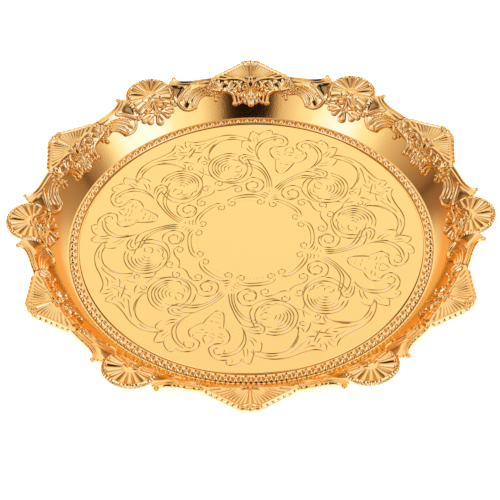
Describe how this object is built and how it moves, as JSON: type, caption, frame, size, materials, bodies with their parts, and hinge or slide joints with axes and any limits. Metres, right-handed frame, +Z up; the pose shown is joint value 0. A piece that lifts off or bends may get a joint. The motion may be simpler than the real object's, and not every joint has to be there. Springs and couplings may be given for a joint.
{
  "type": "brass tray",
  "caption": "Round shallow serving tray in polished brass, with an engraved raised floor, a beaded band and a cast shell-and-scroll border.",
  "frame": {"origin": "on the tray's axis, on the surface that it stands on", "axes": "+Z up along the tray's axis; +X through the middle of a round fan; +Y through the middle of a pointed shell"},
  "size_m": [0.3372, 0.3354, 0.0268],
  "materials": {
    "pan_brass": "polished, gold-coloured, engraved floor",
    "band_brass": "polished beading, darker in the hollows",
    "fan_brass": "polished casting",
    "shell_brass": "polished casting",
    "rail_brass": "polished casting with a stippled ground"
  },
  "bodies": {
    "root": {"pan": "pan_brass", "bead_band": "band_brass", "round_fan_1": "fan_brass", "round_fan_2": "fan_brass", "round_fan_3": "fan_brass", "round_fan_4": "fan_brass", "round_fan_5": "fan_brass", "round_fan_6": "fan_brass", "pointed_shell_1": "shell_brass", "pointed_shell_2": "shell_brass", "pointed_shell_3": "shell_brass", "pointed_shell_4": "shell_brass", "pointed_shell_5": "shell_brass", "pointed_shell_6": "shell_brass", "scroll_rail_left_1": "rail_brass", "scroll_rail_right_1": "rail_brass", "scroll_rail_left_2": "rail_brass", "scroll_rail_right_2": "rail_brass", "scroll_rail_left_3": "rail_brass", "scroll_rail_right_3": "rail_brass", "scroll_rail_left_4": "rail_brass", "scroll_rail_right_4": "rail_brass", "scroll_rail_left_5": "rail_brass", "scroll_rail_right_5": "rail_brass", "scroll_rail_left_6": "rail_brass", "scroll_rail_right_6": "rail_brass"}
  },
  "joints": []
}
